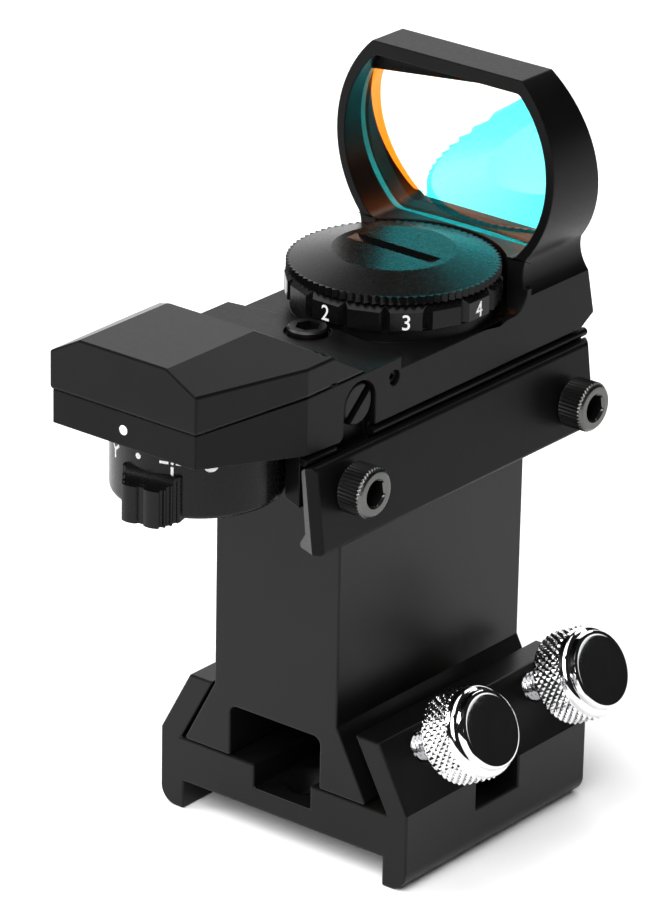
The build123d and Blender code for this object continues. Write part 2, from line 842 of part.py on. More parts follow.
slide_z = 70.3
with BuildPart() as elevation_slide:
    with BuildSketch(level(slide_z)):
        with Locations((0, -38.75)):
            Rectangle(18.0, 16.5)
        with Locations((0, -27.4)):
            Rectangle(10.4, 6.4)
        with Locations((0, selector_y)):
            Circle(5.0, mode=Mode.SUBTRACT)
    extrude(amount=0.6)
    with BuildSketch(level(69.7)):
        with Locations((0, (elevation_y - 24.5) / 2)):
            Rectangle(7.6, elevation_y + 24.5)
    extrude(amount=0.9)
    with BuildSketch(level(67.9, y=elevation_y)):
        Circle(2.6)
    extrude(amount=2.7)
    with BuildSketch(level(67, y=elevation_y)):
        Circle(adjuster_thread_r + run_fit)
    extrude(amount=6, mode=Mode.SUBTRACT)
finish(elevation_slide.part, "elevation_slide")

windage_seat_x = deck_half - 1.85
with BuildPart() as windage_screw:
    with BuildSketch(facing_right(windage_seat_x, y=windage_y, z=windage_z)):
        Circle(2.95)
    extrude(amount=1.55)
    fillet(windage_screw.faces().sort_by(Axis.X)[-1].edges(), radius=0.45)
    with BuildSketch(facing_right(5.4, y=windage_y, z=windage_z)):
        Circle(adjuster_thread_r)
    extrude(amount=windage_seat_x - 5.3)
    with BuildSketch(facing_right(windage_seat_x + 1.55, y=windage_y, z=windage_z)):
        Rectangle(1.4, 7, rotation=-48)
    extrude(amount=-0.8, mode=Mode.SUBTRACT)
finish(windage_screw.part, "windage_screw")

with BuildPart() as windage_clip:
    with BuildSketch(facing_right(10.5, y=windage_y, z=windage_z)):
        Circle(2.0)
        Circle(adjuster_thread_r, mode=Mode.SUBTRACT)
        with Locations((0, -2)):
            Rectangle(1.6, 2, mode=Mode.SUBTRACT)
    extrude(amount=0.35)
finish(windage_clip.part, "windage_clip")

arm_low_z, arm_high_z = 71.0, 71.8
arm_x = 6.5
with BuildPart() as windage_nut:
    with BuildSketch(level(67.4)):
        with Locations((7.7, windage_y)):
            Rectangle(3.8, 3.5)
    extrude(amount=arm_high_z - 67.4)
    with BuildSketch(level(arm_low_z)):
        with Locations((arm_x, windage_y - 4.0)):
            Rectangle(1.2, 5.2)
    extrude(amount=arm_high_z - arm_low_z)
    with BuildSketch(facing_right(4, y=windage_y, z=windage_z)):
        Circle(adjuster_thread_r + run_fit)
    extrude(amount=8, mode=Mode.SUBTRACT)
finish(windage_nut.part, "windage_nut")

with BuildPart() as lock_screw:
    with BuildSketch(facing_right(10.0, y=-14.5, z=70.6)):
        Circle(1.0)
    extrude(amount=4.1)
    with BuildSketch(facing_right(14.1, y=-14.5, z=70.6)):
        RegularPolygon(0.52, 6)
    extrude(amount=-1.0, mode=Mode.SUBTRACT)
finish(lock_screw.part, "lock_screw")


# ==== emitter =====================================================================
carriage_z = 71.0
carriage_top_z = 72.0
hanger_y = -39.85

with BuildPart() as emitter_carriage:
    with BuildSketch(level(carriage_z)):
        with Locations((0, -36.6)):
            Rectangle(18.0, 20.8)
        with Locations((0, selector_y)):
            Circle(drum_journal_r + run_fit, mode=Mode.SUBTRACT)
        with Locations((arm_x, -27.0)):
            Rectangle(1.3, 3.2, mode=Mode.SUBTRACT)
    extrude(amount=carriage_top_z - carriage_z)
    with BuildSketch(facing_right(-2.0)):
        with BuildLine():
            Polyline(
                (-46.8, carriage_z + 0.2),
                (-45.4, carriage_z + 0.2),
                (-45.4, 77.0),
                (hanger_y - 1.2, 77.0),
                (hanger_y - 1.2, 73.2),
                (hanger_y, 73.2),
                (hanger_y, 77.9),
                (-46.8, 77.9),
                (-46.8, carriage_z + 0.2),
            )
        make_face()
    extrude(amount=4.0)
finish(emitter_carriage.part, "emitter_carriage")

with BuildPart() as reticle_drum:
    with BuildSketch(level(70.6, y=selector_y)):
        Circle(drum_journal_r)
    extrude(amount=1.5)
    with BuildSketch(level(carriage_top_z + 0.1, y=selector_y)):
        Circle(drum_r)
    extrude(amount=3.9)
    with BuildSketch(level(carriage_top_z + 0.7, y=selector_y)):
        Circle(drum_r - 0.7)
    extrude(amount=5, mode=Mode.SUBTRACT)
    with BuildSketch(level(70.6, y=selector_y)):
        Rectangle(9.0, 2.2)
    extrude(amount=1.3, mode=Mode.SUBTRACT)
    for turn in (90, 115, 65, 140):
        heading = Vector(cos(radians(turn)), sin(radians(turn)), 0)
        with BuildSketch(Plane(origin=Vector(riser_x, selector_y, led_z) + heading * 4, z_dir=heading)):
            Circle(1.0)
        extrude(amount=4, mode=Mode.SUBTRACT)
finish(reticle_drum.part, "reticle_drum")

with BuildPart() as reticle_film:
    with BuildSketch(level(73.0, y=selector_y)):
        Circle(drum_r + 0.12)
        Circle(drum_r, mode=Mode.SUBTRACT)
    extrude(amount=2.8)
finish(reticle_film.part, "reticle_film")

led_back_y = -38.9
with BuildPart() as led_board:
    with BuildSketch(facing_rear(led_back_y, z=0)):
        with Locations((0, 75.2)):
            Rectangle(5.2, 4.4)
    extrude(amount=led_back_y - hanger_y)
finish(led_board.part, "led_board")

with BuildPart() as led:
    with BuildSketch(facing_rear(led_back_y + 3.0, z=led_z)):
        Circle(1.4)
    extrude(amount=3.0)
    with Locations((riser_x, led_back_y + 3.0, led_z)):
        Sphere(1.4)
finish(led.part, "led")


# ==== reticle selector ============================================================
lever_dir = Vector(sin(radians(lever_angle)), -cos(radians(lever_angle)), 0)
lever_side = Vector(cos(radians(lever_angle)), sin(radians(lever_angle)), 0)
lever_face_half = 2.8
lever_root_half = 4.5
hub_top_z = 70.05

with BuildPart() as lever_profile:
    with BuildSketch(Plane(
        origin=Vector(riser_x, selector_y, 0) - lever_side * lever_root_half,
        x_dir=lever_dir,
        z_dir=-lever_side,
    )):
        with BuildLine():
            Line((9.2, 58.6), (9.2, 64.4))
            Line((9.2, 64.4), (11.45, 64.4))
            ThreePointArc((11.45, 64.4), (12.5, 63.3), (lever_outer_r + 0.1, 63.0))
            Line((lever_outer_r + 0.1, 63.0), (lever_outer_r + 0.1, 57.9))
            Line((lever_outer_r + 0.1, 57.9), (12.6, 57.9))
            Line((12.6, 57.9), (9.2, 58.6))
        make_face()
    extrude(amount=-2 * lever_root_half)

with BuildPart() as lever_plan:
    with BuildSketch(Plane(origin=(riser_x, selector_y, 56), x_dir=lever_dir)):
        with BuildLine():
            Line((9, -lever_root_half), (11.2, -lever_root_half + 0.2))
            Line((11.2, -lever_root_half + 0.2), (13.9, -lever_face_half))
            ThreePointArc((13.9, -lever_face_half), (14.25, -1.7), (14.05, -0.6))
            Line((14.05, -0.6), (13.7, -0.35))
            Line((13.7, -0.35), (13.7, 0.35))
            Line((13.7, 0.35), (14.05, 0.6))
            ThreePointArc((14.05, 0.6), (14.25, 1.7), (13.9, lever_face_half))
            Line((13.9, lever_face_half), (11.2, lever_root_half - 0.2))
            Line((11.2, lever_root_half - 0.2), (9, lever_root_half))
            Line((9, lever_root_half), (9, -lever_root_half))
        make_face()
        # three finger grooves down each flank
        for share in (0.15, 0.5, 0.85):
            groove_u = 11.5 + 2.4 * share
            groove_v = lever_root_half - 0.3 - 1.45 * share
            with Locations((groove_u, groove_v), (groove_u, -groove_v)):
                Circle(0.36, mode=Mode.SUBTRACT)
    extrude(amount=10)

selector_lever = lever_profile.part & lever_plan.part

with BuildPart() as reticle_selector:
    with BuildSketch(level(selector_bottom_z, y=selector_y)):
        Circle(selector_r)
    extrude(amount=selector_top_z - selector_bottom_z)
    fillet(reticle_selector.faces().sort_by(Axis.Z)[0].edges(), radius=0.85)
    add(selector_lever)
    with BuildSketch(level(selector_top_z, y=selector_y)):
        Circle(selector_hub_r)
    extrude(amount=hub_top_z - selector_top_z)
    with BuildSketch(level(cavity_floor_z + 0.05, y=selector_y)):
        Circle(selector_hub_r)
        Circle(selector_hub_r - 0.5, mode=Mode.SUBTRACT)
    extrude(amount=0.3, mode=Mode.SUBTRACT)
    with BuildSketch(level(hub_top_z, y=selector_y)):
        Rectangle(5.0, 1.4)
    extrude(amount=1.3)
    with BuildSketch(level(selector_top_z, y=selector_y)):
        with Locations((detent_r, 0)):
            Circle(detent_ball_r + run_fit)
    extrude(amount=-4.6, mode=Mode.SUBTRACT)
finish(reticle_selector.part, "reticle_selector")

with BuildPart() as selector_clip:
    with BuildSketch(level(cavity_floor_z + 0.07, y=selector_y)):
        Circle(4.5)
        Circle(selector_hub_r - 0.5, mode=Mode.SUBTRACT)
        with Locations((0, 4)):
            Rectangle(3.0, 5, mode=Mode.SUBTRACT)
    extrude(amount=0.26)
finish(selector_clip.part, "selector_clip")

ball_z = selector_top_z - 0.6
with BuildPart() as detent_ball:
    with Locations((riser_x + detent_r, selector_y, ball_z)):
        Sphere(detent_ball_r)
finish(detent_ball.part, "detent_ball")


def build_coil_spring(base, radius, wire, height, turns, label):
    """Round-wire coil spring standing on a point."""
    with BuildPart() as spring:
        with BuildLine():
            Helix(pitch=height / turns, height=height, radius=radius, center=base)
        start = Vector(base) + Vector(radius, 0, 0)
        with BuildSketch(Plane(origin=start, z_dir=(0, 1, 0))):
            Circle(wire)
        sweep(is_frenet=True)
    finish(spring.part, label)


build_coil_spring(
    (riser_x + detent_r, selector_y, selector_top_z - 4.4), 0.72, 0.14, 2.7, 5, "detent_spring"
)


# ==== battery holder, battery and cap =============================================
holder_bottom_z = 67.7
holder_floor_z = 70.0
holder_top_z = 77.0
thread_z = 74.3
thread_r = 11.5
snap_z = 76.27

with BuildPart() as battery_holder:
    with BuildSketch(level(holder_bottom_z, y=dial_y)):
        Circle(neck_r)
    extrude(amount=holder_top_z - holder_bottom_z)
    with BuildSketch(level(holder_floor_z, y=dial_y)):
        Circle(battery_r + 0.3)
    extrude(amount=10, mode=Mode.SUBTRACT)
    with BuildSketch(level(thread_z, y=dial_y)):
        Circle(thread_r)
    extrude(amount=10, mode=Mode.SUBTRACT)
    with BuildSketch(level(snap_z, y=dial_y)):
        Circle(neck_r + 1)
        Circle(neck_r - 0.3, mode=Mode.SUBTRACT)
    extrude(amount=0.4, mode=Mode.SUBTRACT)
finish(battery_holder.part, "battery_holder")

with BuildPart() as coin_battery:
    with BuildSketch(level(battery_z, y=dial_y)):
        Circle(battery_r)
    extrude(amount=battery_height)
    fillet(coin_battery.edges().group_by(Axis.Z)[-1], radius=0.4)
    with BuildSketch(level(battery_z, y=dial_y)):
        Circle(battery_r)
        Circle(battery_r - 1.1, mode=Mode.SUBTRACT)
    extrude(amount=0.35, mode=Mode.SUBTRACT)
finish(coin_battery.part, "coin_battery")

with BuildPart() as battery_contact:
    with BuildSketch(level(holder_floor_z, y=dial_y)):
        Circle(4.0)
    extrude(amount=0.3)
    with BuildSketch(level(holder_floor_z, y=dial_y)):
        with PolarLocations(2.6, 3):
            Rectangle(1.6, 0.9)
    extrude(amount=battery_z - holder_floor_z)
finish(battery_contact.part, "battery_contact")

tooth_root = cap_r - 0.5


def toothed_ring():
    """Rim outline with evenly spaced sharp teeth."""
    points = []
    for step in range(2 * cap_teeth):
        angle = pi * step / cap_teeth
        reach = cap_r if step % 2 == 0 else tooth_root
        points.append((reach * cos(angle), reach * sin(angle)))
    return points


with BuildPart() as battery_cap:
    with BuildSketch(level(cap_under_z, y=dial_y)):
        Polygon(*toothed_ring(), align=None)
    extrude(amount=cap_rim_z - cap_under_z)
    with BuildSketch(level(cap_rim_z, y=dial_y)):
        Circle(tooth_root)
    with BuildSketch(level(cap_top_z, y=dial_y)):
        Circle(cap_flat_r)
    loft()
    with BuildSketch(level(thread_z + 0.25, y=dial_y)):
        Circle(thread_r - run_fit)
        Circle(9.4, mode=Mode.SUBTRACT)
    extrude(amount=cap_under_z - thread_z - 0.25)
    with BuildSketch(level(cap_under_z, y=dial_y)):
        Circle(12.35)
        Circle(thread_r, mode=Mode.SUBTRACT)
    extrude(amount=0.55, mode=Mode.SUBTRACT)
    slot_depth = 1.6
    slot_r = ((coin_slot_length / 2) ** 2 + slot_depth**2) / (2 * slot_depth)
    with BuildSketch(Plane(
        origin=(riser_x, dial_y + coin_slot_width / 2, cap_top_z - slot_depth + slot_r),
        x_dir=(1, 0, 0),
        z_dir=(0, -1, 0),
    )):
        Circle(slot_r)
    extrude(amount=coin_slot_width, mode=Mode.SUBTRACT)
finish(battery_cap.part, "battery_cap")

with BuildPart() as cap_o_ring:
    with BuildSketch(facing_rear(dial_y, x=riser_x)):
        with Locations((11.93, holder_top_z + 0.32)):
            Circle(0.3)
    revolve(axis=Axis((riser_x, dial_y, 0), (0, 0, 1)))
finish(cap_o_ring.part, "cap_o_ring")


# ==== brightness dial =============================================================
facet_step = 360 / dial_facets

with BuildPart() as brightness_dial:
    with BuildSketch(level(dial_bottom_z, y=dial_y)):
        RegularPolygon(dial_r, dial_facets, rotation=facet_step / 2)
    extrude(amount=dial_top_z - dial_bottom_z)
    chamfer(brightness_dial.faces().sort_by(Axis.Z)[-1].edges(), length=0.75, length2=0.9)
    with BuildSketch(level(dial_bottom_z, y=dial_y)):
        with PolarLocations(dial_r + 0.35, dial_facets, start_angle=facet_step / 2):
            Rectangle(1.7, 1.7, rotation=45)
    extrude(amount=5, mode=Mode.SUBTRACT)
    with BuildSketch(level(dial_bottom_z, y=dial_y)):
        Circle(dial_bore_r)
    extrude(amount=5, mode=Mode.SUBTRACT)
    with BuildSketch(level(snap_z - 0.1, y=dial_y)):
        Circle(13.25)
    extrude(amount=2, mode=Mode.SUBTRACT)
finish(brightness_dial.part, "brightness_dial")

with BuildPart() as dial_snap_ring:
    with BuildSketch(level(snap_z + 0.05, y=dial_y)):
        Circle(13.05)
        Circle(neck_r - 0.28, mode=Mode.SUBTRACT)
        with Locations((12.5, 0)):
            Rectangle(2, 2.4, mode=Mode.SUBTRACT)
    extrude(amount=0.3)
finish(dial_snap_ring.part, "dial_snap_ring")

with BuildPart() as switch_board:
    with BuildSketch(level(boss_z - 0.7, y=dial_y)):
        Circle(13.5)
        Circle(neck_r + 0.02, mode=Mode.SUBTRACT)
    extrude(amount=0.6)
finish(switch_board.part, "switch_board")

with BuildPart() as dial_wiper:
    with BuildSketch(level(boss_z, y=dial_y)):
        with Locations((0, -13.0)):
            Rectangle(3.2, 0.6)
    extrude(amount=dial_bottom_z - boss_z)
finish(dial_wiper.part, "dial_wiper")

with BuildPart() as wire_pair:
    with BuildSketch(facing_rear(dial_y - 10.6, z=wire_z)):
        with Locations((wire_x - 0.35, 0), (wire_x + 0.35, 0)):
            Circle(0.3)
    extrude(amount=18.2)
finish(wire_pair.part, "wire_pair")
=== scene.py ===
from math import cos, pi, radians, sin

import bpy
import bmesh
from mathutils import Matrix, Vector


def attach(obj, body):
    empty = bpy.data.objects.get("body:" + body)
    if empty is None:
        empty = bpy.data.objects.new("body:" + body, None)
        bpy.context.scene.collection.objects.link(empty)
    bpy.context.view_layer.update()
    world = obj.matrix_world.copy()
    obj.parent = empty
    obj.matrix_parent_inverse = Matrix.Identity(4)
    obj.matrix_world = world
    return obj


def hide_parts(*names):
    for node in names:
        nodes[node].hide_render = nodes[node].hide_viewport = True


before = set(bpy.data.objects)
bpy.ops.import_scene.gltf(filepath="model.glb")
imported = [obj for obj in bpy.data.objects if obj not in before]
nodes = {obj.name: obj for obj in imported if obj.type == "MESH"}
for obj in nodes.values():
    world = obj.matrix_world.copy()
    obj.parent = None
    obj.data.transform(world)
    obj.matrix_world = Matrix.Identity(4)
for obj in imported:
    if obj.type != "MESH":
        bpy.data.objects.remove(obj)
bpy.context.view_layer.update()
scene = bpy.context.scene
MM = 0.001


def mm(*values):
    """A point in millimetres as a vector in metres."""
    return Vector(values) * MM


# ---- camera ----------------------------------------------------------------------
CAMERA_AZIMUTH, CAMERA_ELEVATION, CAMERA_ROLL = radians(38.393), radians(23.073), radians(1.152)
CAMERA_DISTANCE = 735.5
AIM_HEIGHT, AIM_RIGHT, AIM_UP = 75.0, -6.562, -22.692
FOCAL_LENGTH, SENSOR_SIZE = 215.82, 36.0
NEAREST, FARTHEST = 0.01, 50.0


def make_camera():
    """Looks from behind and to the right at a point beside the riser's axis."""
    az, el = CAMERA_AZIMUTH, CAMERA_ELEVATION
    back = Vector((sin(az) * cos(el), -cos(az) * cos(el), sin(el)))
    level_right = Vector((cos(az), sin(az), 0))
    level_up = back.cross(level_right)
    right = level_right * cos(CAMERA_ROLL) + level_up * sin(CAMERA_ROLL)
    up = level_up * cos(CAMERA_ROLL) - level_right * sin(CAMERA_ROLL)
    aim = mm(0, 0, AIM_HEIGHT) + (right * AIM_RIGHT + up * AIM_UP) * MM
    data = bpy.data.cameras.new("camera")
    data.sensor_fit = "AUTO"
    data.sensor_width = SENSOR_SIZE
    data.lens = FOCAL_LENGTH
    data.clip_start = NEAREST
    data.clip_end = FARTHEST
    camera = bpy.data.objects.new("camera", data)
    scene.collection.objects.link(camera)
    rotation = Matrix((right, up, back)).transposed().to_4x4()
    camera.matrix_world = Matrix.Translation(aim + back * CAMERA_DISTANCE * MM) @ rotation
    scene.camera = camera


make_camera()


# ---- materials -------------------------------------------------------------------
class Nodes:
    """Small wrapper for building one material's node tree."""

    def __init__(self, name):
        self.material = bpy.data.materials.new(name)
        self.material.use_nodes = True
        self.tree = self.material.node_tree
        self.shader = self.tree.nodes["Principled BSDF"]
        self.output = self.tree.nodes["Material Output"]
        self.coords = self.add("ShaderNodeTexCoord").outputs["Object"]

    def add(self, kind, **settings):
        node = self.tree.nodes.new(kind)
        for key, value in settings.items():
            setattr(node, key, value)
        return node

    def link(self, a, b):
        self.tree.links.new(a, b)

    def noise(self, scale, detail=3.0, stretch=None):
        node = self.add("ShaderNodeTexNoise")
        node.inputs["Scale"].default_value = scale
        node.inputs["Detail"].default_value = detail
        source = self.coords
        if stretch:
            mapping = self.add("ShaderNodeMapping")
            mapping.inputs["Scale"].default_value = stretch
            self.link(source, mapping.inputs["Vector"])
            source = mapping.outputs["Vector"]
        self.link(source, node.inputs["Vector"])
        return node.outputs["Fac"]

    def ramp(self, source, *stops):
        node = self.add("ShaderNodeValToRGB")
        elements = node.color_ramp.elements
        while len(elements) < len(stops):
            elements.new(0.5)
        for element, (place, colour) in zip(elements, stops):
            element.position = place
            if not isinstance(colour, tuple):
                colour = (colour, colour, colour)
            element.color = (*colour, 1.0)
        self.link(source, node.inputs["Fac"])
        return node.outputs["Color"]

    def bump(self, source, strength, distance):
        node = self.add("ShaderNodeBump")
        node.inputs["Strength"].default_value = strength
        node.inputs["Distance"].default_value = distance
        self.link(source, node.inputs["Height"])
        self.link(node.outputs["Normal"], self.shader.inputs["Normal"])

    def set(self, **values):
        for key, value in values.items():
            self.shader.inputs[key.replace("_", " ")].default_value = value

    def normal_y(self):
        """Part of the surface normal that lies along the object's length."""
        axes = self.add("ShaderNodeSeparateXYZ")
        self.link(self.add("ShaderNodeNewGeometry").outputs["Normal"], axes.inputs["Vector"])
        return axes.outputs["Y"]

    def math(self, operation, *sources):
        """Math node whose inputs are other nodes' outputs or plain numbers."""
        node = self.add("ShaderNodeMath", operation=operation)
        for place, source in enumerate(sources):
            if isinstance(source, float):
                node.inputs[place].default_value = source
            else:
                self.link(source, node.inputs[place])
        return node.outputs[0]

    def polished(self, kind, colour, ior=None):
        """Refraction or glossy shader without any roughness."""
        node = self.add(kind)
        node.inputs["Color"].default_value = (*colour, 1)
        node.inputs["Roughness"].default_value = 0.0
        if ior:
            node.inputs["IOR"].default_value = ior
        return node.outputs[0]

    def blend(self, share, first, second):
        node = self.add("ShaderNodeMixShader")
        for place, source in enumerate((share, first, second)):
            self.link(source, node.inputs[place])
        return node.outputs[0]


def anodised(name, dark, light, rough_low, rough_high, grain=0.35, specular=0.5, painted_end_grey=None):
    """Black anodised aluminium: fine blasted grain, faint cloudiness, end faces painted a paler grey as
    painted light.
    """
    n = Nodes(name)
    colour = n.ramp(n.noise(160, 4.0), (0.3, dark), (0.7, light))
    if painted_end_grey:
        # painted light: faces whose normal lies along the length get a paler, streaked grey, standing in
        # for the light those ends catch
        facing_end = n.math("ABSOLUTE", n.normal_y())
        mix = n.add("ShaderNodeMixRGB")
        n.link(n.ramp(facing_end, (0.90, 0.0), (0.97, 1.0)), mix.inputs["Fac"])
        n.link(colour, mix.inputs["Color1"])
        end_streaks = n.noise(900, 3.0, (1, 1, 6))
        n.link(n.ramp(end_streaks, (0.3, painted_end_grey * 0.85), (0.7, painted_end_grey)), mix.inputs["Color2"])
        colour = mix.outputs["Color"]
    n.link(colour, n.shader.inputs["Base Color"])
    n.link(n.ramp(n.noise(1500, 2.0), (0.3, rough_low), (0.7, rough_high)), n.shader.inputs["Roughness"])
    n.bump(n.noise(5200, 2.0), grain, 0.00003)
    n.set(Specular_IOR_Level=specular)
    return n.material


def metal(name, colour, rough_low, rough_high, grain=0.05):
    """Bare or plated metal with slight clouding of its colour and polish."""
    n = Nodes(name)
    n.set(Metallic=1.0)
    shade = tuple(c * 0.86 for c in colour)
    n.link(n.ramp(n.noise(260, 3.0), (0.3, shade), (0.7, colour)), n.shader.inputs["Base Color"])
    n.link(n.ramp(n.noise(900, 3.0), (0.3, rough_low), (0.7, rough_high)), n.shader.inputs["Roughness"])
    n.bump(n.noise(3000, 2.0), grain, 0.00002)
    return n.material


def plastic(name, colour, rough_low, rough_high, grain=0.1):
    """Moulded plastic, rubber or paint."""
    n = Nodes(name)
    shade = tuple(c * 0.8 for c in colour)
    n.link(n.ramp(n.noise(220, 3.0), (0.3, shade), (0.7, colour)), n.shader.inputs["Base Color"])
    n.link(n.ramp(n.noise(700, 2.0), (0.3, rough_low), (0.7, rough_high)), n.shader.inputs["Roughness"])
    n.bump(n.noise(2600, 2.0), grain, 0.00003)
    return n.material


shoe_black = anodised("shoe_black", 0.0024, 0.0034, 0.34, 0.40, grain=0.2, specular=0.17)
riser_black = anodised("riser_black", 0.0026, 0.0036, 0.31, 0.37, grain=0.2, specular=0.175)
casing_black = anodised("casing_black", 0.0024, 0.0034, 0.31, 0.37, grain=0.2, specular=0.08)
# the plate's end faces are painted a paler grey, as painted light
plate_black = anodised("plate_black", 0.0028, 0.0038, 0.36, 0.42, grain=0.2, specular=0.09, painted_end_grey=0.085)
cover_black = anodised("cover_black", 0.0024, 0.0034, 0.29, 0.33, grain=0.15, specular=0.10)
control_black = anodised("control_black", 0.0022, 0.0030, 0.26, 0.29, grain=0.06, specular=0.155)
bolt_black = anodised("bolt_black", 0.0024, 0.0034, 0.34, 0.42, grain=0.1, specular=0.13)
worn_steel = metal("worn_steel", (0.11, 0.11, 0.106), 0.26, 0.36)
steel_black = metal("steel_black", (0.034, 0.034, 0.036), 0.34, 0.44)
steel_plain = metal("steel_plain", (0.6, 0.6, 0.62), 0.25, 0.35)
thread_steel = metal("thread_steel", (0.30, 0.30, 0.31), 0.12, 0.20)
chrome = metal("chrome", (0.83, 0.83, 0.84), 0.05, 0.09)
brass = metal("brass", (0.72, 0.52, 0.24), 0.25, 0.35)
black_plastic = plastic("black_plastic", (0.02, 0.02, 0.02), 0.45, 0.55)
rubber = plastic("rubber", (0.012, 0.012, 0.012), 0.6, 0.7)
led_red = plastic("led_red", (0.5, 0.02, 0.015), 0.1, 0.2)
board_green = plastic("board_green", (0.02, 0.12, 0.05), 0.3, 0.4)
wire_red = plastic("wire_red", (0.4, 0.02, 0.015), 0.3, 0.4)
white_paint = plastic("white_paint", (0.80, 0.80, 0.80), 0.45, 0.6)

MATERIALS = {
    "finder_shoe": shoe_black,
    "riser_post": riser_black,
    "sight_body": casing_black,
    "clamp_plate": plate_black,
    "emitter_cover": cover_black,
    "reticle_selector": control_black,
    "brightness_dial": control_black,
    "battery_cap": control_black,
}
for names, material in (
    (("thumbscrew_rear", "thumbscrew_front"), chrome),
    (("clamp_bolt_rear", "clamp_bolt_front", "elevation_screw", "lock_screw", "cover_screws"),
     steel_black),
    (("windage_screw",), bolt_black),
    (("elevation_clip", "windage_clip", "selector_clip", "dial_snap_ring", "detent_ball",
      "detent_spring", "coin_battery"), steel_plain),
    (("pressure_pad_rear", "pressure_pad_front", "battery_contact", "dial_wiper", "windage_nut"), brass),
    (("battery_holder", "elevation_slide", "emitter_carriage", "reticle_drum", "reticle_film"),
     black_plastic),
    (("lens_seal", "cap_o_ring"), rubber),
    (("led",), led_red),
    (("led_board", "switch_board"), board_green),
    (("wire_pair",), wire_red),
):
    for name in names:
        MATERIALS[name] = material


def make_lens_glass():
    """Glass with a ground rim; its rear face is coated to reflect red and let blue-green through."""
    n = Nodes("lens_glass")
    normal_y = n.normal_y()
    on_rim = n.math("LESS_THAN", n.math("ABSOLUTE", normal_y), 0.6)
    # seen from inside the glass the normal points inwards, so it is turned round there
    inside = n.add("ShaderNodeNewGeometry").outputs["Backfacing"]
    outward_y = n.math("MULTIPLY", normal_y, n.math("MULTIPLY_ADD", inside, -2.0, 1.0))
    facing_rear = n.math("LESS_THAN", outward_y, -0.8)
    coating = n.add("ShaderNodeAddShader")
    n.link(n.polished("ShaderNodeBsdfRefraction", (0.06, 0.94, 1.0), ior=1.5), coating.inputs[0])
    n.link(n.polished("ShaderNodeBsdfGlossy", (1.0, 0.20, 0.006)), coating.inputs[1])
    fresnel = n.add("ShaderNodeFresnel")
    fresnel.inputs["IOR"].default_value = 1.3
    clear = n.polished("ShaderNodeBsdfRefraction", (0.93, 0.99, 1.0), ior=1.5)
    plain = n.blend(fresnel.outputs[0], clear, n.polished("ShaderNodeBsdfGlossy", (0.8, 0.8, 0.8)))
    faces = n.blend(facing_rear, plain, coating.outputs[0])
    ground = n.add("ShaderNodeBsdfDiffuse")
    n.link(n.ramp(n.noise(900, 3.0), (0.3, 0.72), (0.7, 0.85)), ground.inputs["Color"])
    n.link(n.blend(on_rim, faces, ground.outputs[0]), n.output.inputs["Surface"])
    return n.material


MATERIALS["lens"] = make_lens_glass()
MATERIALS["emitter_window"] = plastic("tinted_window", (0.014, 0.005, 0.005), 0.05, 0.09, grain=0.02)


def dress(node, material):
    node.data.materials.clear()
    node.data.materials.append(material)


BEVELS = {
    "finder_shoe": 0.25,
    "riser_post": 0.25,
    "sight_body": 0.15,
    "clamp_plate": 0.2,
    "emitter_cover": 0.25,
}


def soften_edges(node, width):
    """Merges each flat face into one polygon, then breaks the sharp edges by a width in mm."""
    weld = node.modifiers.new("weld", "WELD")
    weld.merge_threshold = 0.002 * MM
    flat = node.modifiers.new("flat", "DECIMATE")
    flat.decimate_type = "DISSOLVE"
    flat.angle_limit = radians(0.4)
    bevel = node.modifiers.new("bevel", "BEVEL")
    bevel.width = width * MM
    bevel.segments = 2
    bevel.limit_method = "ANGLE"
    bevel.angle_limit = radians(32)
    bevel.use_clamp_overlap = False
    bevel.harden_normals = False
    even = node.modifiers.new("even", "WEIGHTED_NORMAL")
    even.weight = 100
    even.keep_sharp = True


for name, node in nodes.items():
    dress(node, MATERIALS[name])
    if name in BEVELS:
        soften_edges(node, BEVELS[name])


# ---- mesh helpers ----------------------------------------------------------------
def new_object(name, vertices, faces, material, body, smooth=True, smooth_angle=40):
    """Mesh object from points in metres, dressed and riding on a body."""
    mesh = bpy.data.meshes.new(name)
    mesh.from_pydata([tuple(v) for v in vertices], [], faces)
    mesh.validate()
    work = bmesh.new()
    work.from_mesh(mesh)
    bmesh.ops.recalc_face_normals(work, faces=work.faces)
    work.to_mesh(mesh)
    work.free()
    if smooth:
        mesh.shade_smooth()
        mesh.set_sharp_from_angle(angle=radians(smooth_angle))
    piece = bpy.data.objects.new(name, mesh)
    scene.collection.objects.link(piece)
    dress(piece, material)
    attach(piece, body)
    return piece


def axis_frame(origin, direction, up=(0, 1, 0)):
    """Function that turns (along, x, y) millimetres about an axis into metres."""
    w = Vector(direction).normalized()
    u = Vector(up) - w * Vector(up).dot(w)
    u.normalize()
    v = w.cross(u)
    base = Vector(origin)
    return lambda along, x, y: (base + w * along + u * x + v * y) * MM


class Lathe:
    """Closed loops round an axis, joined by quads; radii may be functions of the angle."""

    def __init__(self, place, segments):
        self.place = place
        self.segments = segments
        self.vertices = []
        self.faces = []
        self.last = None

    def loop(self, along, radius):
        start = len(self.vertices)
        for i in range(self.segments):
            angle = 2 * pi * i / self.segments
            reach = radius(angle) if callable(radius) else radius
            self.vertices.append(self.place(along, reach * cos(angle), reach * sin(angle)))
        if self.last is not None:
            for i in range(self.segments):
                j = (i + 1) % self.segments
                self.faces.append((self.last + i, self.last + j, start + j, start + i))
        self.last = start

    def cap(self, along):
        """Closes the last loop at a point on the axis."""
        self.vertices.append(self.place(along, 0, 0))
        tip = len(self.vertices) - 1
        for i in range(self.segments):
            self.faces.append((self.last + i, self.last + (i + 1) % self.segments, tip))

    def start_cap(self, along):
        """Closes the first loop, which has to be in place already."""
        self.vertices.append(self.place(along, 0, 0))
        tip = len(self.vertices) - 1
        for i in range(self.segments):
            self.faces.append((tip, (i + 1) % self.segments, i))


def triangle_wave(value):
    """0 on whole numbers, 1 half-way between them."""
    return 1 - abs(2 * (value % 1.0) - 1)


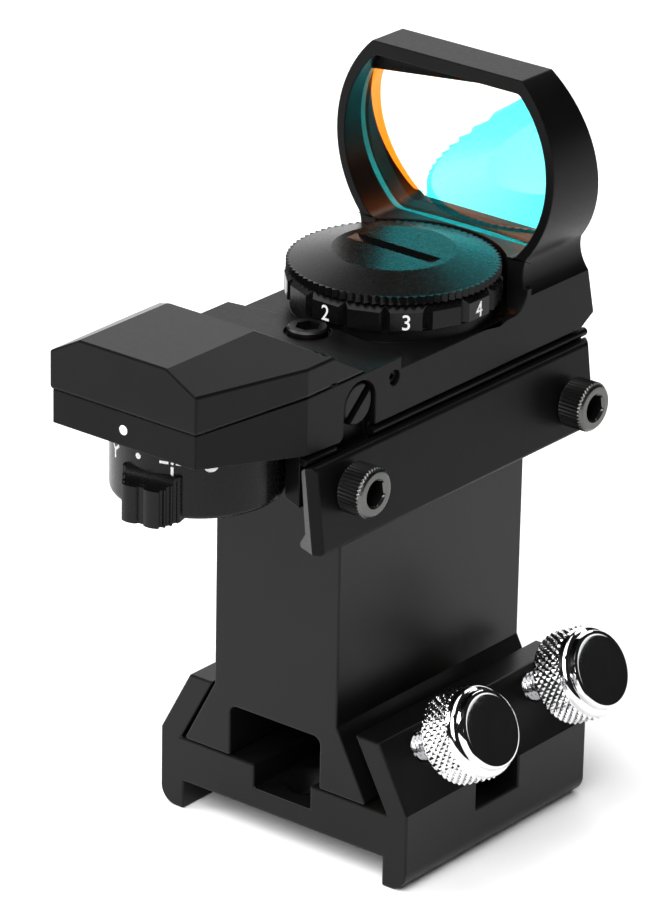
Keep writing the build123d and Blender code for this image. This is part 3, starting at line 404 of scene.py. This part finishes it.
def add_thread(lathe, start, end, outer, pitch, depth, steps_per_pitch=8):
    """Helical thread from start to end, drawn as closely spaced loops."""
    count = int(abs(end - start) / pitch * steps_per_pitch)
    for k in range(count + 1):
        along = start + (end - start) * k / count
        fade = min(1.0, k / steps_per_pitch, (count - k) / steps_per_pitch)
        lathe.loop(
            along,
            lambda angle, s=along, f=fade: outer - depth * f
            * (1 - triangle_wave(s / pitch - angle / (2 * pi))),
        )


# ---- thumbscrews -----------------------------------------------------------------
SHOE_HALF_WIDTH, SHOE_LIP_OUTER, SHOE_SIDE_Z, SHOE_LIP_Z = 21.4, 16.4, 11.4, 20.7
THUMB_DIRECTION = (SHOE_LIP_Z - SHOE_SIDE_Z, 0, SHOE_HALF_WIDTH - SHOE_LIP_OUTER)
THUMB_X, THUMB_Z, THUMB_Y = 17.83, 18.04, 12.3
KNOB_START, KNOB_LENGTH, SHANK_START = 5.8, 7.2, -4.68
SHANK_RADIUS, THREAD_PITCH, THREAD_DEPTH = 2.0, 0.7, 0.38
PIN_HOLE_RADIUS, PIN_HOLE_DEPTH = 0.78, 1.4
KNURL_FACETS, KNURL_STEPS = 9, 48
KNURL_LENGTH, KNURL_COUNT, KNURL_PITCH, KNURL_DEPTH, KNOB_RADIUS = 4.7, 40, 1.2, 0.34, 6.52
# distance from the knob's inner face and radius, from the knurl over the rim to the face
KNOB_RIM = (
    (4.98, 6.25), (5.1, 6.22), (5.45, 6.2), (5.7, 6.08), (5.95, 5.86), (6.05, 5.62), (6.12, 5.5),
    (6.35, 5.48), (6.8, 5.42), (KNOB_LENGTH - 0.15, 5.3), (KNOB_LENGTH - 0.03, 5.12),
    (KNOB_LENGTH, 4.95), (KNOB_LENGTH - 0.05, 4.75), (KNOB_LENGTH - 0.1, 4.6),
    (KNOB_LENGTH - 0.1, 2.0),
)


def knurled_radius(along, angle, fade):
    """Pyramids between two crossing sets of helical grooves."""
    turn = angle * KNURL_COUNT / (2 * pi)
    rise = along / KNURL_PITCH
    pyramid = min(triangle_wave(turn + rise), triangle_wave(turn - rise))
    return KNOB_RADIUS - KNURL_DEPTH * (1 - pyramid * fade)


def make_thumbscrew(end, y):
    """Chrome knob with a knurled band, smooth rim and dished face, on a threaded shank."""
    place = axis_frame((THUMB_X, y, THUMB_Z), THUMB_DIRECTION)
    lathe = Lathe(place, KNURL_COUNT * KNURL_FACETS)
    lathe.loop(SHANK_START, PIN_HOLE_RADIUS)
    lathe.loop(SHANK_START, 1.55)
    add_thread(lathe, SHANK_START + 0.2, KNOB_START - 0.25, SHANK_RADIUS, THREAD_PITCH, THREAD_DEPTH)
    lathe.loop(KNOB_START, 1.62)
    shank_faces = len(lathe.faces)
    lathe.loop(KNOB_START, 5.7)
    lathe.loop(KNOB_START + 0.12, 6.0)
    knurl_start = KNOB_START + 0.2
    for k in range(KNURL_STEPS + 1):
        along = KNURL_LENGTH * k / KNURL_STEPS
        fade = min(1.0, k / 3, (KNURL_STEPS - k) / 3)
        lathe.loop(knurl_start + along,
                   lambda angle, s=along, f=fade: knurled_radius(s, angle, f))
    for along, radius in KNOB_RIM:
        lathe.loop(KNOB_START + along, radius)
    lathe.cap(KNOB_START + KNOB_LENGTH - 0.1)
    first = len(lathe.vertices)
    # blind hole that the pad's pin sits in
    hole = Lathe(place, lathe.segments)
    hole.loop(SHANK_START, PIN_HOLE_RADIUS)
    hole.loop(SHANK_START + PIN_HOLE_DEPTH, PIN_HOLE_RADIUS)
    hole.cap(SHANK_START + PIN_HOLE_DEPTH + 0.1)
    faces = lathe.faces + [tuple(i + first for i in f) for f in hole.faces]
    piece = new_object(f"thumb_knob_{end}", lathe.vertices + hole.vertices, faces, chrome,
                       f"{end}_thumbscrew", smooth_angle=28)
    piece.data.materials.append(thread_steel)
    for polygon in piece.data.polygons:
        if polygon.index < shank_faces or polygon.index >= len(lathe.faces):
            polygon.material_index = 1
    weld_mesh(piece)
    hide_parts(f"thumbscrew_{end}")


def weld_mesh(piece, distance=0.001 * MM):
    """Joins the piece's vertices that fall on the same spot."""
    work = bmesh.new()
    work.from_mesh(piece.data)
    bmesh.ops.remove_doubles(work, verts=work.verts, dist=distance)
    bmesh.ops.recalc_face_normals(work, faces=work.faces)
    work.to_mesh(piece.data)
    work.free()


make_thumbscrew("rear", -THUMB_Y)
make_thumbscrew("front", THUMB_Y)


# ---- clamp bolts -----------------------------------------------------------------
RISER_X = -1.4
BOLT_HEX, BOLT_TEETH, BOLT_HEAD_RADIUS, BOLT_HEAD_HEIGHT = 3.4, 40, 3.49, 4.0
BOLT_RADIUS, BOLT_PITCH, BOLT_THREAD_DEPTH = 1.95, 0.7, 0.36


def hex_radius(across):
    """Radius function of a hexagon with the given width across flats."""
    return lambda angle: across / 2 / cos((angle + pi / 9) % (pi / 3) - pi / 6)


def make_clamp_bolt(end, y, z, head_x, tip_x):
    """Socket-head cap screw: knurled black head, bright worn rim and face, threaded shank."""
    place = axis_frame((RISER_X, y, z), (1, 0, 0))
    lathe = Lathe(place, BOLT_TEETH * 6)
    lathe.loop(tip_x, 1.2)
    lathe.loop(tip_x, 1.5)
    add_thread(lathe, tip_x + 0.3, head_x - 2.6, BOLT_RADIUS, BOLT_PITCH, BOLT_THREAD_DEPTH,
               steps_per_pitch=6)
    for along, radius in ((-2.5, BOLT_RADIUS), (0, BOLT_RADIUS), (0, 3.2), (0.15, 3.38)):
        lathe.loop(head_x + along, radius)

    def knurl(depth, radius=BOLT_HEAD_RADIUS):
        return lambda angle: radius - depth * (1 - triangle_wave(angle * BOLT_TEETH / (2 * pi)))

    for along, depth in ((0.3, 0.05), (0.45, 0.22), (3.35, 0.22)):
        lathe.loop(head_x + along, knurl(depth))
    dark_faces = len(lathe.faces)
    lathe.loop(head_x + 3.55, knurl(0.12, 3.40))
    for along, radius in (
        (3.7, 3.26), (3.92, 3.04), (3.99, 2.9), (BOLT_HEAD_HEIGHT, 2.75),
        (BOLT_HEAD_HEIGHT, 2.06), (3.93, 1.98),
    ):
        lathe.loop(head_x + along, radius)
    for along, size in ((3.7, BOLT_HEX), (1.9, BOLT_HEX)):
        lathe.loop(head_x + along, hex_radius(size))
    bright_faces = len(lathe.faces) - lathe.segments
    lathe.cap(head_x + 1.5)
    lathe.start_cap(tip_x)
    piece = new_object(f"clamp_bolt_{end}_screw", lathe.vertices, lathe.faces, bolt_black,
                       f"{end}_bolt", smooth_angle=30)
    piece.data.materials.append(worn_steel)
    for polygon in piece.data.polygons:
        if dark_faces <= polygon.index < bright_faces:
            polygon.material_index = 1
    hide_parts(f"clamp_bolt_{end}")


BOLTS = {
    "rear": {"y": -25.1, "z": 59.15, "head_x": 16.42, "tip_x": 7.4},
    "front": {"y": 22.0, "z": 56.6, "head_x": 16.9, "tip_x": -12.6},
}
for end, place in BOLTS.items():
    make_clamp_bolt(end, **place)


# ---- white figures and marks -----------------------------------------------------
DIAL_Y, DIAL_RADIUS, DIAL_FACETS = 3.7, 14.75, 16
FIGURE_COUNT, FIGURE_HEIGHT, FIGURE_Z = 8, 2.15, 74.68
FONT_SIZE, FIGURE_NARROWING = FIGURE_HEIGHT * 1.42, 0.92
FIRST_FIGURE_AT = 180
FACET_REACH = DIAL_RADIUS * cos(pi / DIAL_FACETS)


def figure_mesh(text):
    """Outline figure as mesh data, standing in the XY plane and centred."""
    curve = bpy.data.curves.new("figure", "FONT")
    curve.body = text
    curve.size = FONT_SIZE
    curve.extrude = 0.02
    curve.offset = 0.02
    curve.resolution_u = 6
    curve.align_x = "CENTER"
    curve.align_y = "CENTER"
    holder = bpy.data.objects.new("figure", curve)
    scene.collection.objects.link(holder)
    bpy.context.view_layer.update()
    mesh = bpy.data.meshes.new_from_object(holder.evaluated_get(bpy.context.evaluated_depsgraph_get()))
    bpy.data.objects.remove(holder)
    low = [min(v.co[i] for v in mesh.vertices) for i in range(2)]
    high = [max(v.co[i] for v in mesh.vertices) for i in range(2)]
    centre = Vector(((low[0] + high[0]) / 2, (low[1] + high[1]) / 2, 0))
    scale = FIGURE_HEIGHT / (high[1] - low[1])
    offsets = [v.co - centre for v in mesh.vertices]
    points = [Vector((p.x * scale * FIGURE_NARROWING, p.y * scale, p.z)) for p in offsets]
    return points, [tuple(f.vertices) for f in mesh.polygons]


def make_dial_figures():
    """The brightness steps, one on every second facet of the dial."""
    vertices, faces = [], []
    for number in range(FIGURE_COUNT):
        angle = radians(FIRST_FIGURE_AT + 360 / FIGURE_COUNT * number)
        outward = Vector((cos(angle), sin(angle), 0))
        across = Vector((-sin(angle), cos(angle), 0))
        base = Vector((RISER_X, DIAL_Y, FIGURE_Z)) + outward * (FACET_REACH + 0.005)
        points, polygons = figure_mesh(str(number))
        first = len(vertices)
        for p in points:
            vertices.append((base + across * p.x + Vector((0, 0, 1)) * p.y + outward * p.z) * MM)
        faces += [tuple(i + first for i in f) for f in polygons]
    new_object("dial_figures", vertices, faces, white_paint, "dial", smooth=False)


make_dial_figures()

SELECTOR_Y, SELECTOR_RADIUS, MARK_Z, PAINT = -36.6, 11.5, 66.05, 0.03


class Marks:
    """Thin painted shapes laid round a cylinder; u runs along the surface, v upwards."""

    def __init__(self, centre, radius):
        self.centre, self.radius = centre, radius
        self.vertices, self.faces = [], []

    def point(self, angle, u, v, lift):
        turn = angle + u / self.radius
        reach = self.radius + lift
        return (Vector(self.centre) + Vector((reach * sin(turn), -reach * cos(turn), v))) * MM

    def outline(self, angle, points):
        """Extrudes a convex outline of (u, v) points from the surface."""
        first = len(self.vertices)
        count = len(points)
        for lift in (-0.05, PAINT):
            self.vertices += [self.point(angle, u, v, lift) for u, v in points]
        self.faces.append(tuple(first + count + i for i in range(count)))
        self.faces.append(tuple(first + count - 1 - i for i in range(count)))
        for i in range(count):
            j = (i + 1) % count
            self.faces.append((first + i, first + j, first + count + j, first + count + i))

    def dot(self, angle, u, v, radius, sides=28):
        turns = (2 * pi * k / sides for k in range(sides))
        self.outline(angle, [(u + radius * cos(turn), v + radius * sin(turn)) for turn in turns])

    def bar(self, angle, start, end, width, steps=6):
        """Straight bar from start to end, cut into short lengths so that it follows the curve."""
        a, b = Vector(start), Vector(end)
        side = Vector((a.y - b.y, b.x - a.x)).normalized() * width / 2
        for k in range(steps):
            p = a + (b - a) * k / steps
            q = a + (b - a) * (k + 1) / steps
            self.outline(angle, [tuple(p - side), tuple(p + side), tuple(q + side), tuple(q - side)])


def make_selector_marks():
    """One mark for each reticle, seen at the click that puts it under the white dot."""
    marks = Marks((RISER_X, SELECTOR_Y, MARK_Z), SELECTOR_RADIUS)
    three_arm, small_dot, cross, large_dot = (radians(a) for a in (-26.5, -1.5, 23.5, 48.5))
    marks.bar(three_arm, (0, -0.75), (0, -1.9), 0.38)
    marks.bar(three_arm, (0, -0.78), (-0.95, 0.25), 0.38)
    marks.bar(three_arm, (0, -0.78), (1.05, 0.05), 0.38)
    marks.dot(small_dot, 0, 0, 0.42)
    marks.dot(cross, 0, 0, 0.2)
    for u, v, reach in ((1, 0, 1.75), (-1, 0, 1.75), (0, 1, 1.45), (0, -1, 1.75)):
        marks.bar(cross, (0.5 * u, 0.5 * v), (reach * u, reach * v), 0.36)
    marks.dot(large_dot, 0, 0, 1.0)
    piece = new_object("selector_marks", marks.vertices, marks.faces, white_paint, "selector",
                       smooth=False)
    weld_mesh(piece)


make_selector_marks()

INDEX_Z, INDEX_RADIUS, INDEX_Y = 70.7, 0.66, -51.35


def make_index_dot():
    """Round spot of paint on the housing's rear face, slightly crowned."""
    place = axis_frame((RISER_X, INDEX_Y, INDEX_Z), (0, -1, 0), up=(1, 0, 0))
    lathe = Lathe(place, 40)
    for along, share in ((-0.05, 1.0), (0.02, 1.0), (0.045, 0.92), (0.055, 0.6)):
        lathe.loop(along, INDEX_RADIUS * share)
    lathe.cap(0.057)
    lathe.start_cap(-0.05)
    new_object("index_dot", lathe.vertices, lathe.faces, white_paint, "sight")


make_index_dot()


# ---- floor and light -------------------------------------------------------------
FLOOR_REACH, FLOOR_DROP = 6.0, 0.00005


def make_floor():
    """White paper just under the object's feet."""
    mesh = bpy.data.meshes.new("floor")
    size = FLOOR_REACH
    mesh.from_pydata([(-size, -size, 0), (size, -size, 0), (size, size, 0), (-size, size, 0)],
                     [], [(0, 1, 2, 3)])
    floor = bpy.data.objects.new("floor", mesh)
    floor.location.z = -FLOOR_DROP
    scene.collection.objects.link(floor)
    n = Nodes("floor_paper")
    n.link(n.ramp(n.noise(3.0), (0.3, 0.93), (0.7, 0.95)), n.shader.inputs["Base Color"])
    # beyond the reach of the lamps the paper stays pale
    from_middle = n.add("ShaderNodeVectorMath", operation="LENGTH")
    n.link(n.coords, from_middle.inputs[0])
    far = n.add("ShaderNodeMapRange")
    for key, value in (("From Min", 1.1), ("From Max", 2.0), ("To Min", 0.0), ("To Max", 0.85)):
        far.inputs[key].default_value = value
    n.link(from_middle.outputs["Value"], far.inputs["Value"])
    n.link(far.outputs["Result"], n.shader.inputs["Emission Strength"])
    n.set(Roughness=0.9, Emission_Color=(1, 1, 1, 1))
    dress(floor, n.material)


make_floor()


def area_light(name, position, target, size, power):
    """Square lamp of the given size in metres and power in watts, turned to face the target."""
    data = bpy.data.lights.new(name, "AREA")
    data.energy = power
    data.size = size
    light = bpy.data.objects.new(name, data)
    scene.collection.objects.link(light)
    light.location = position
    light.rotation_euler = (Vector(target) - Vector(position)).to_track_quat("-Z", "Y").to_euler()


WORLD_STRENGTH = 0.015
world = bpy.data.worlds.new("studio")
world.use_nodes = True
background = world.node_tree.nodes["Background"]
background.inputs["Color"].default_value = (1, 1, 1, 1)
background.inputs["Strength"].default_value = WORLD_STRENGTH
scene.world = world
scene.view_settings.view_transform = "Standard"
for name, position, target_height, size, power in (
    ("top_softbox", (-0.1, -0.1, 1.15), 0, 1.0, 9),
    ("front_softbox", (0.35, -1.0, 1.0), 0.03, 1.1, 28),
    ("left_softbox", (-1.05, -0.55, 0.85), 0.03, 0.9, 16),
    ("back_left_card", (-0.80, 1.01, 0.55), 0.05, 1.1, 6),
    ("back_softbox", (0.0, 1.05, 1.05), 0.05, 0.6, 3),
):
    area_light(name, position, (0, 0, target_height), size, power)
